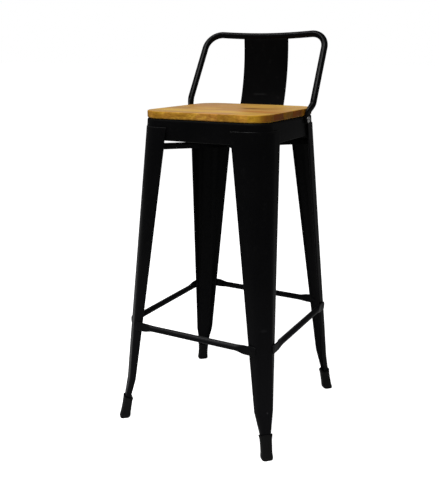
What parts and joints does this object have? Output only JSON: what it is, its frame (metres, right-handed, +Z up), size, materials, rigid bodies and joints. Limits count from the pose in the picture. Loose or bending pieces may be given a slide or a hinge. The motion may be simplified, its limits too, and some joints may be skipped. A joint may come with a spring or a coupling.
{
  "type": "bar stool",
  "caption": "Tall bar stool with a square wooden seat, folded sheet-metal legs, tubular footrest ring and low open back with a flat slat.",
  "frame": {"origin": "on the floor, under the middle of the seat, midway between the four feet", "axes": "+Z up, the front of the stool faces -Y and its back is at +Y, +X is to the right in a view along +Y"},
  "size_m": [0.4252, 0.4252, 0.937],
  "materials": {
    "wood": "clear satin varnish over glued staves, grain left to right",
    "frame_coat": "satin black powder coat",
    "zinc": "bright zinc plating",
    "foot_rubber": "dull black rubber"
  },
  "bodies": {
    "root": {"seat_stave_1": "wood", "seat_stave_2": "wood", "seat_stave_3": "wood", "seat_stave_4": "wood", "seat_stave_5": "wood", "seat_stave_6": "wood", "seat_pan": "frame_coat", "seat_screws": "zinc", "leg_front_left": "frame_coat", "leg_front_right": "frame_coat", "leg_rear_left": "frame_coat", "leg_rear_right": "frame_coat", "footrest_front": "frame_coat", "footrest_rear": "frame_coat", "footrest_left": "frame_coat", "footrest_right": "frame_coat", "footrest_rivets": "frame_coat", "brace_front_left": "frame_coat", "brace_front_right": "frame_coat", "brace_rivets": "frame_coat", "backrest_tube": "frame_coat", "back_slat": "frame_coat", "back_bolts": "zinc", "back_washers": "zinc", "back_nuts": "zinc", "slat_bolts": "zinc", "slat_nuts": "zinc", "foot_front_left": "foot_rubber", "foot_front_right": "foot_rubber", "foot_rear_left": "foot_rubber", "foot_rear_right": "foot_rubber"}
  },
  "joints": []
}
